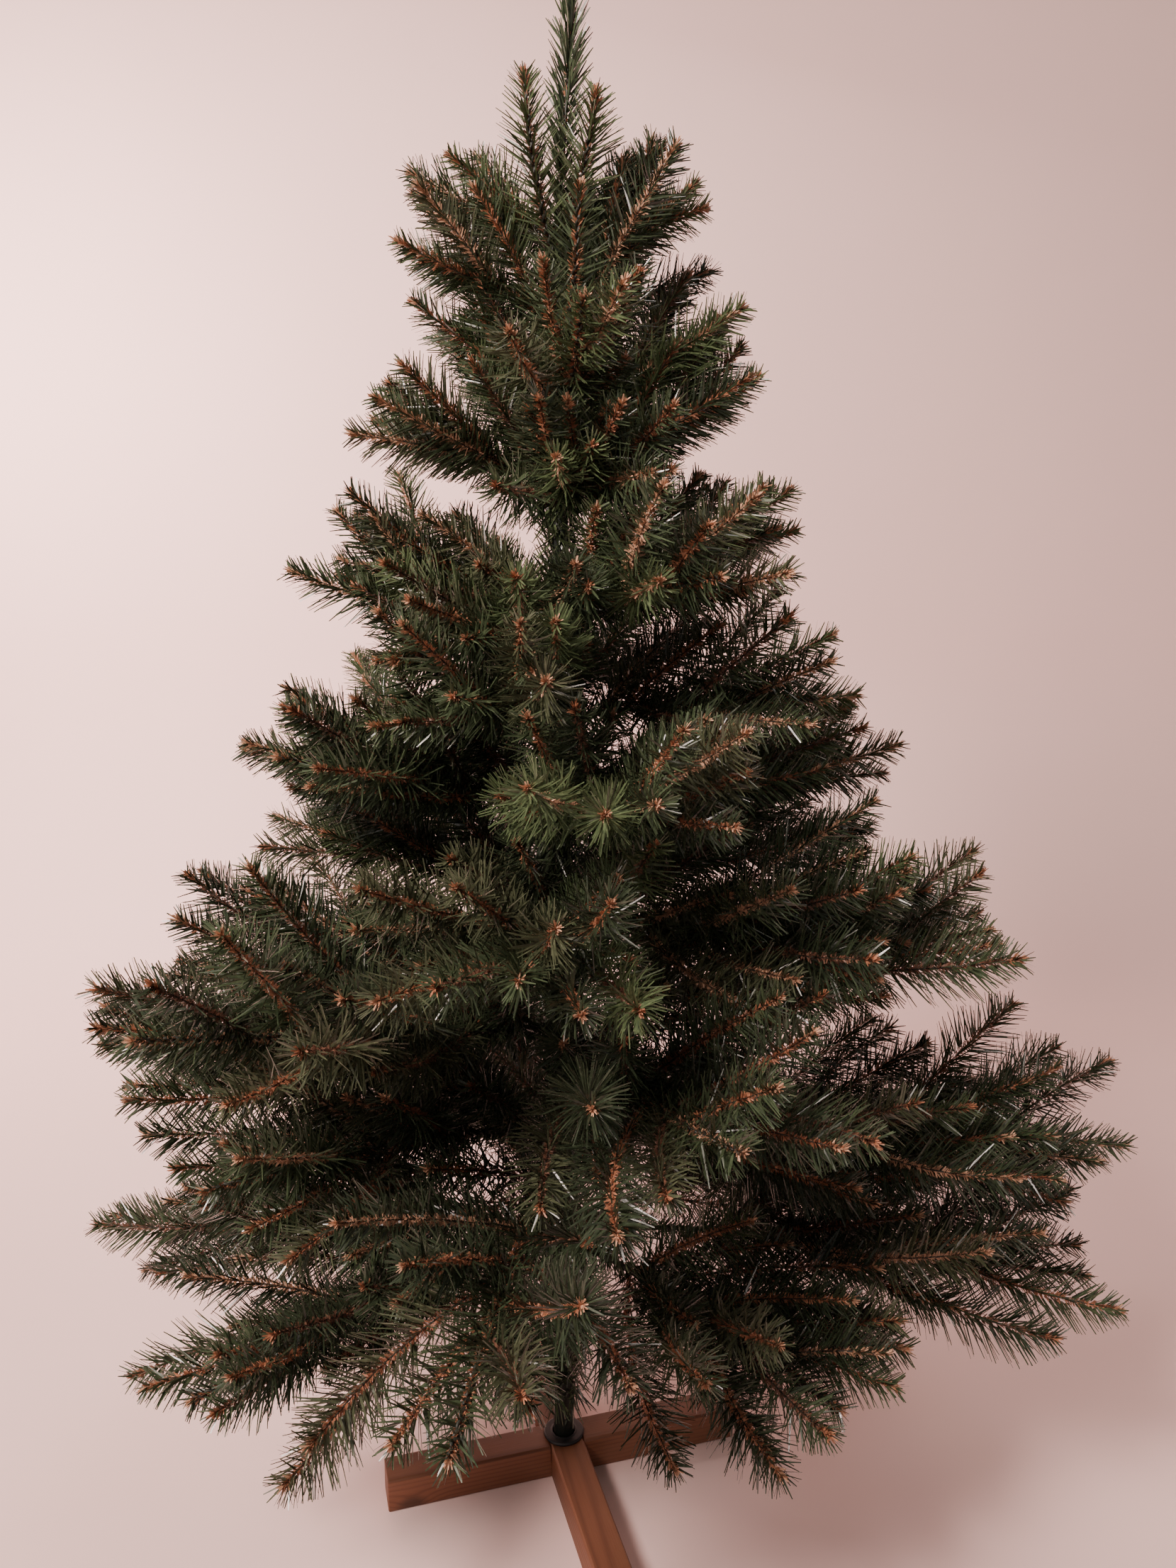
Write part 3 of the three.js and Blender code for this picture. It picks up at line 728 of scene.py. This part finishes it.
def needled_lines():
    """Flat strips that stand off every line, leaning forward along it."""
    tree, nodes, given = group_of("needles along wires", {
        "Needles a metre": "Float", "Width": "Float", "Rows": "Int",
        "Foot": "Float", "Point": "Float", "Bend": "Float",
        "Uneven": "Float", "Lean spread": "Float", "Seed": "Int",
        "Colour 1": "Material", "Colour 2": "Material", "Colour 3": "Material", "Colour 4": "Material",
    })
    line = nodes.add("GeometryNodeMeshToCurve", {}, {"Mesh": given["Lines"]})
    roots = nodes.add("GeometryNodeCurveToPoints", {"mode": "LENGTH"}, {
        "Curve": line, "Length": 1 / given["Needles a metre"],
    })
    tangent = Value(nodes, roots.socket.node.outputs["Tangent"])

    blade = nodes.add("GeometryNodeMeshGrid", {}, {
        "Size X": 1.0, "Size Y": 1.0, "Vertices X": 2, "Vertices Y": given["Rows"],
    })
    x, y, _ = nodes.parts(nodes.add("GeometryNodeInputPosition", {}, {}))
    run = y + 0.5
    narrowing = 1 - (run * 2 - 1).most(0) * given["Point"]
    height = given["Foot"] + run * (1 - given["Foot"])
    outline = nodes.vector(x * given["Width"] * narrowing, run * run * given["Bend"], height)
    blade = nodes.add("GeometryNodeSetPosition", {}, {"Geometry": blade, "Position": outline})

    def random(low, high, step):
        return nodes.add("FunctionNodeRandomValue", {"data_type": "FLOAT"}, {
            2: low, 3: high, 8: given["Seed"] + step,
        }, out=1)

    spin = random(0.0, 2 * math.pi, 0)
    lean = number_of(nodes, "lean") + random(-1.0, 1.0, 1) * given["Lean spread"]
    long = number_of(nodes, "reach") * (1 - random(0.0, 1.0, 2) * given["Uneven"])
    turn = nodes.add("FunctionNodeAlignRotationToVector", {"axis": "Z"}, {"Vector": tangent})
    off = nodes.add("FunctionNodeEulerToRotation", {}, {0: nodes.vector(lean, 0.0, spin)})
    roll = random(0.0, 2 * math.pi, 3)
    flat = nodes.add("FunctionNodeEulerToRotation", {}, {0: nodes.vector(0.0, 0.0, roll)})
    turn = nodes.add("FunctionNodeRotateRotation", {"rotation_space": "LOCAL"}, {0: turn, 1: off})
    turn = nodes.add("FunctionNodeRotateRotation", {"rotation_space": "LOCAL"}, {0: turn, 1: flat})
    needles = nodes.add("GeometryNodeInstanceOnPoints", {}, {
        "Points": roots, "Instance": blade, "Rotation": turn, "Scale": nodes.vector(1.0, long, long),
    })
    needles = nodes.add("GeometryNodeRealizeInstances", {}, {"Geometry": needles})
    shade = number_of(nodes, "shade")
    for k in range(4):
        chosen = nodes.add("ShaderNodeMath", {"operation": "COMPARE"}, {0: shade, 1: float(k), 2: 0.1})
        needles = nodes.add("GeometryNodeSetMaterial", {}, {
            "Geometry": needles, "Selection": chosen, "Material": given[f"Colour {k + 1}"],
        })
    nodes.add("NodeGroupOutput", {}, {"Result": needles})
    return tree


NEEDLES = needled_lines()
GREEN_FOILS = [foil(name, dark, light, GREEN_GLOSS) for name, (dark, light) in GREENS.items()]


def profile(stops, share):
    """A number that changes evenly from stop to stop along a line."""
    for (low, first), (high, last) in zip(stops, stops[1:]):
        if share <= high:
            return first + (last - first) * (share - low) / (high - low)
    return stops[-1][1]


def needle_lines(name, lines):
    """Lines for needles, each with how its reach and lean change along it."""
    numbers = {"reach": [], "lean": [], "shade": []}
    for path, reach, lean, shade in lines:
        shares = [i / (len(path) - 1) for i in range(len(path))]
        numbers["reach"].append([profile(reach, share) for share in shares])
        numbers["lean"].append([math.radians(profile(lean, share)) for share in shares])
        numbers["shade"].append([float(shade)] * len(path))
    return lines_piece(name, [line[0] for line in lines], numbers)


def colours(materials):
    return {f"Colour {k + 1}": materials[k % len(materials)] for k in range(4)}


TIP_REACH = [(0, 0.60), (0.12, 0.95), (0.3, 1.0), (0.8, 1.0), (0.93, 0.80), (1, 0.40)]
TIP_LEAN = [(0, NEEDLE_LEAN), (0.8, NEEDLE_LEAN - 2), (1, NEEDLE_LEAN - 8)]
NEEDLE_GROUPS = {
    "top": ["crown", "whorl_1", "whorl_2", "whorl_3", "whorl_4"],
    "middle": ["whorl_5", "whorl_6", "whorl_7"],
    "whorl_8": ["whorl_8"],
    "whorl_9": ["whorl_9"],
    "whorl_10": ["whorl_10"],
}

# Full needles from the pole outwards on high boughs. On low ones the wire near
# the pole carries only short ones. The low boughs have the longest needles, and
# below 0.6 m the deep green batch stands in for the fresh one, as painted
# shade that darkens the lower tree.
STEM_REACH = [
    (0.0, [(0, 0.42), (0.24, 0.46), (0.4, 1.0), (0.89, 1.0), (0.97, 0.80), (1, 0.40)]),
    (0.5, [(0, 0.45), (0.2, 0.6), (0.35, 1.0), (0.88, 1.0), (0.96, 0.80), (1, 0.40)]),
    (0.8, [(0, 0.5), (0.12, 1.0), (0.84, 1.0), (0.94, 0.80), (1, 0.40)]),
]
NEEDLE_SIZES = [(0.0, 1.08), (0.7, 1.0), (1.18, 0.93)]
FINER_NEEDLES = 0.86
# Below 0.6 m the fresh green batch is dealt as the deep one: painted shade on the low boughs.
BATCHES_AND_LOW_SHADE = [(0.0, (0, 1, 0, 3)), (0.6, (0, 1, 2, 3))]


def scaled(stops, size):
    return [(place, value * size) for place, value in stops]


for group, tiers in NEEDLE_GROUPS.items():
    lines = []
    nodes_here = []
    for each in BOUGHS:
        tier = each["tier"]
        if tier["name"] not in tiers:
            continue
        nodes_here.append(each["node"])
        longest = NEEDLE_REACH * at_height(NEEDLE_SIZES, tier["height"])
        batches_and_shade = at_height(BATCHES_AND_LOW_SHADE, tier["height"])
        pick = chance_from(tier["seed"] * 31 + each["index"] * 17 + 3)
        wound = [(each["stem"], at_height(STEM_REACH, tier["height"]), longest)]
        wound += [(tip, TIP_REACH, longest) for tip in each["tips"]]
        wound += [(tip, TIP_REACH, longest * FINER_NEEDLES) for tip in each["finer"]]
        for path, reach, size in wound:
            lines.append((path, scaled(reach, size), TIP_LEAN, batches_and_shade[int(2 + pick(1.99))]))
    greens = needle_lines("green_needles_" + group, lines)
    grown(greens, NEEDLES, {
        "Needles a metre": NEEDLES_A_METRE, "Rows": 2, "Bend": 0.04,
        "Uneven": 0.11, "Lean spread": 0.11, "Seed": 11, **GREEN_CUT, **colours(GREEN_FOILS),
    })
    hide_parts(*nodes_here)
    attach(greens, "root")


# ---------------------------------------------------------- brown needles
# A narrower band of orange-brown foil is twisted in with the green one, so
# every tip has a short brown core along its wire and ends in a brown tuft
# that looks like a bud. The colour is paler at the outer tips.

BROWNS_A_METRE = 2600
BROWN_WIDTH = 0.0017
BROWN_REACH = 0.0078
TUFT_LENGTH = 0.010
TUFT_A_METRE = 4200
TUFT_REACH = [(0, 0.008), (1, 0.010)]
TUFT_LEAN = [(0, 50), (1, 20)]
BROWN_CUT = {"Width": BROWN_WIDTH, "Rows": 2, "Foot": 0.0, "Point": 0.5}
BROWN_GLOSS = 0.42
BROWNS = {
    "chestnut_foil": ((0.168, 0.063, 0.031, 1), (0.370, 0.150, 0.078, 1)),
    "orange_brown_foil": ((0.241, 0.096, 0.047, 1), (0.515, 0.227, 0.121, 1)),
    "tan_foil": ((0.336, 0.177, 0.103, 1), (0.627, 0.375, 0.235, 1)),
    "dull_brown_foil": ((0.118, 0.054, 0.032, 1), (0.252, 0.121, 0.072, 1)),
}
BROWN_FOILS = [foil(name, dark, light, BROWN_GLOSS) for name, (dark, light) in BROWNS.items()]
BROWN_ALONG = [(0, 0.7), (0.2, 1.0), (0.85, 0.9), (1, 0.75)]
BROWN_LEAN = [(0, 66), (0.85, 60), (1, 36)]
BROWN_FROM = [(0.0, 0.36), (0.8, 0.06)]
BROWN_SIZES = [(0.0, 1.0), (0.9, 1.35)]


def beyond(path, start):
    """The last part of a line, from a share of it to the end."""
    place = start * LIMB_STEPS
    i = int(place)
    return [path[i].lerp(path[i + 1], place - i)] + path[i + 1:]


tuft_lines = []
for group, tiers in NEEDLE_GROUPS.items():
    brown_lines = []
    for each in BOUGHS:
        tier = each["tier"]
        if tier["name"] not in tiers:
            continue
        pick = chance_from(tier["seed"] * 57 + each["index"] * 29 + 7)
        stem = beyond(each["stem"], at_height(BROWN_FROM, tier["height"]))
        along_wire = scaled(BROWN_ALONG, BROWN_REACH * at_height(BROWN_SIZES, tier["height"]))
        for path in [stem] + each["tips"] + each["finer"]:
            shade = int(2 + pick(1.99))
            brown_lines.append((path, along_wire, BROWN_LEAN, shade))
            end = (path[-1] - path[-2]).normalized()
            tuft = [path[-1] - end * TUFT_LENGTH, path[-1] - end * (TUFT_LENGTH / 2), path[-1]]
            tuft_lines.append((tuft, TUFT_REACH, TUFT_LEAN, 1 if shade == 3 else 2))
    browns = needle_lines("brown_cores_" + group, brown_lines)
    grown(browns, NEEDLES, {
        "Needles a metre": BROWNS_A_METRE, "Bend": 0.05,
        "Uneven": 0.3, "Lean spread": 0.26, "Seed": 41, **BROWN_CUT, **colours(BROWN_FOILS),
    })
    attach(browns, "root")

tufts = needle_lines("brown_end_tufts", tuft_lines)
grown(tufts, NEEDLES, {
    "Needles a metre": TUFT_A_METRE, "Bend": 0.08,
    "Uneven": 0.35, "Lean spread": 0.34, "Seed": 71, **BROWN_CUT, **colours(BROWN_FOILS),
})
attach(tufts, "root")


# ----------------------------------------------------- leader and winding
# The leader is one straight tip pushed on to the top of the pole, leaning a
# little. Below it the pole is wound with a garland of the same foil, whose
# needles hug the tube and hide it down to a hand's breadth above the stand.

LEADER_FOOT = 1.3066
LEADER_TOP = 1.5
LEADER_POINT = 0.006
LEADER_RISE = 86
LEADER_REACH = 0.037
LEADER_ALONG = [(0, 0.5), (0.15, 0.85), (0.5, 1.0), (0.85, 1.0), (1, 0.8)]
LEADER_LEAN = [(0, 40), (0.7, 36), (1, 22)]
LEADER_WIRE = 0.0019
LEADER_WIRE_SIDES = 6
LEADER_A_METRE = 2300
LEADER_BROWNS_A_METRE = 1300
WINDING_ROWS = 10
WINDING_A_METRE = 650
WINDING_REACH = 0.038
WINDING_LEAN = 44
WINDING_STEPS = 6

# From where to where each tube is wound, its radius there and how far its rows
# are turned from those of the lowest tube.
WOUND_TUBES = [(0.085, 0.572, 0.0116, 0), (0.580, 1.006, 0.0101, 13), (1.014, 1.302, 0.0081, 13)]

leader_length = LEADER_TOP - LEADER_FOOT - LEADER_POINT
leader = limb(Vector((0, 0, LEADER_FOOT)), leader_length, 0, 0, LEADER_RISE, LEADER_RISE)
winding = []
for k in range(WINDING_ROWS):
    for low, high, radius, swing in WOUND_TUBES:
        foot = heading(360 * k / WINDING_ROWS + swing, 0) * radius
        line = []
        for i in range(WINDING_STEPS + 1):
            line.append(foot + Vector((0, 0, low + (high - low) * i / WINDING_STEPS)))
        if k % 3 == 0:
            line.reverse()
        winding.append((line, [(0, WINDING_REACH)], [(0, WINDING_LEAN)], (k * 3) % 4))

leader_reach = scaled(LEADER_ALONG, LEADER_REACH)
greens = needle_lines("leader_needles", [(leader, leader_reach, LEADER_LEAN, 1)])
grown(greens, NEEDLES, {
    "Needles a metre": LEADER_A_METRE, "Rows": 3, "Bend": 0.05,
    "Uneven": 0.25, "Lean spread": 0.18, "Seed": 19, **GREEN_CUT, **colours(GREEN_FOILS),
})
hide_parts("leader")
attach(greens, "root")

greens = needle_lines("pole_winding", winding)
grown(greens, NEEDLES, {
    "Needles a metre": WINDING_A_METRE, "Rows": 3, "Bend": 0.10,
    "Uneven": 0.35, "Lean spread": 0.30, "Seed": 23, **GREEN_CUT, **colours(GREEN_FOILS),
})
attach(greens, "root")

leader_core = needle_lines("leader_core", [
    (leader, scaled([(0, 0.7), (1, 1.0)], BROWN_REACH), [(0, 50), (1, 25)], 1),
])
grown(leader_core, NEEDLES, {
    "Needles a metre": LEADER_BROWNS_A_METRE, "Bend": 0.05,
    "Uneven": 0.3, "Lean spread": 0.26, "Seed": 47, **BROWN_CUT, **colours(BROWN_FOILS),
})
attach(leader_core, "root")

leader_wire = lines_piece("leader_wire", [leader], {"thick": [[LEADER_WIRE] * len(leader)]})
grown(leader_wire, plain_wires(), {"Sides": LEADER_WIRE_SIDES, "Material": WIRE_FINISH})
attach(leader_wire, "root")


# ----------------------------------------------------------------- studio
# A floor of pale pink paper that curves up into a plain backdrop, with even
# light all round. The key light stands high in front on the left, a weak one
# fills from low on that side, and two more light the back and the paper.

FLOOR_HALF = 3.2
BACK_START = 1.3
BACK_CURVE = 0.8
BACK_TOP = 4.2
CURVE_STEPS = 12
PINK_PAPER = (0.90, 0.655, 0.605, 1)
PALER_PAPER = (0.94, 0.690, 0.640, 1)
ROOM_COLOUR = (0.96, 0.88, 0.85, 1)
ROOM_STRENGTH = 0.28
CAMERA_PLACE = (0.0274, -1.145, 1.0)
CAMERA_TILT = 79.4
CAMERA_LENS = 26.37

sweep = bmesh.new()
outline = [(-4.0, 0.0), (BACK_START, 0.0)]
for k in range(1, CURVE_STEPS + 1):
    turn = math.radians(90 * k / CURVE_STEPS)
    outline.append((BACK_START + BACK_CURVE * math.sin(turn), BACK_CURVE * (1 - math.cos(turn))))
outline.append((BACK_START + BACK_CURVE, BACK_TOP))
rows = [[sweep.verts.new((side, y, z)) for side in (-FLOOR_HALF, FLOOR_HALF)] for y, z in outline]
for low, high in zip(rows, rows[1:]):
    sweep.faces.new((low[0], low[1], high[1], high[0])).smooth = True
mesh = bpy.data.meshes.new("paper_sweep")
sweep.to_mesh(mesh)
sweep.free()
floor = bpy.data.objects.new("paper_sweep", mesh)
bpy.context.scene.collection.objects.link(floor)
paper = Finish("pale_paper")
paper_tone = paper.speckle(paper.place(), 3.0, 2.0)
floor.data.materials.append(paper.laid({
    "Base Color": paper.mixed(paper_tone, PINK_PAPER, PALER_PAPER),
    "Roughness": 0.9,
}))

world = bpy.data.worlds.new("studio")
bpy.context.scene.world = world
world.use_nodes = True
room = world.node_tree.nodes["Background"]
room.inputs["Color"].default_value = ROOM_COLOUR
room.inputs["Strength"].default_value = ROOM_STRENGTH


def soft_light(name, place, target, size, power, colour):
    lamp = bpy.data.lights.new(name, "AREA")
    lamp.shape = "DISK"
    lamp.size = size
    lamp.energy = power
    lamp.color = colour
    fitting = bpy.data.objects.new(name, lamp)
    bpy.context.scene.collection.objects.link(fitting)
    fitting.location = place
    fitting.rotation_euler = (Vector(target) - Vector(place)).to_track_quat("-Z", "Y").to_euler()


soft_light("key", (-1.2, -1.5, 2.25), (0, 0, 1.2), 0.8, 124, (1.0, 0.82, 0.76))
soft_light("low_fill", (-1.9, -1.7, 0.55), (-0.1, 0, 0.3), 1.0, 5, (1.0, 0.88, 0.82))
soft_light("back", (0.4, 1.1, 2.9), (0, 0, 1.0), 1.4, 16, (1.0, 0.92, 0.87))
soft_light("backdrop", (-1.7, 0.8, 1.7), (-1.3, 2.1, 1.2), 0.8, 72, (1.0, 0.78, 0.73))

lens = bpy.data.cameras.new("front_camera")
lens.sensor_width = 36
lens.lens = CAMERA_LENS
camera = bpy.data.objects.new("front_camera", lens)
bpy.context.scene.collection.objects.link(camera)
camera.location = CAMERA_PLACE
camera.rotation_euler = (math.radians(CAMERA_TILT), 0, 0)
bpy.context.scene.camera = camera

bpy.context.view_layer.update()
